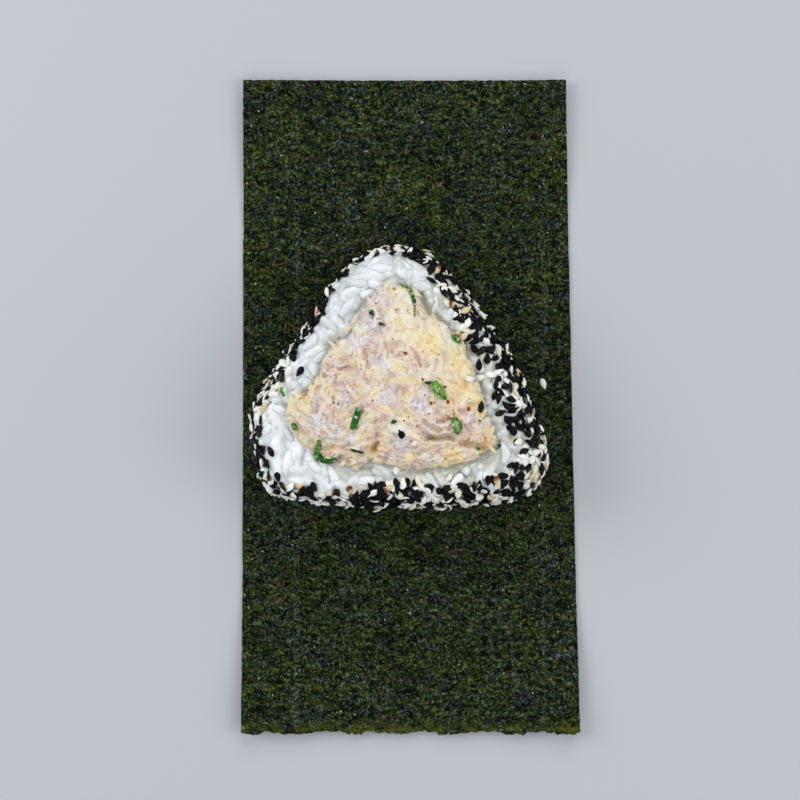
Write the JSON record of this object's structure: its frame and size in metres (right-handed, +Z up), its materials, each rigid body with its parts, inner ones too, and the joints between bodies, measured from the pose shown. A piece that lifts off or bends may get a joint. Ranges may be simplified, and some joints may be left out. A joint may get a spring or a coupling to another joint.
{
  "type": "onigiri rice ball",
  "caption": "Triangular rice ball with sesame-coated sides and a heaped tuna mayonnaise filling in its top, lying on a strip of nori.",
  "frame": {"origin": "on the table under the middle of the nori strip", "axes": "+Z up, +Y along the strip from its torn end to its cut end, with the rice ball's point towards +Y"},
  "size_m": [0.1052, 0.204, 0.0332],
  "materials": {
    "nori": "dry pressed seaweed with faint glints",
    "rice": "moist, glossy, slightly see-through cooked grains",
    "tuna_mayonnaise": "creamy and moist, with flakes of fish",
    "black_sesame": "satin seed coat",
    "white_sesame": "satin seed coat, some toasted brown",
    "spring_onion": "moist chopped leaf",
    "pepper": "ground red and black pepper"
  },
  "bodies": {
    "root": {"nori_strip": "nori", "rice_ball": "rice", "tuna_filling": "tuna_mayonnaise"}
  },
  "joints": []
}
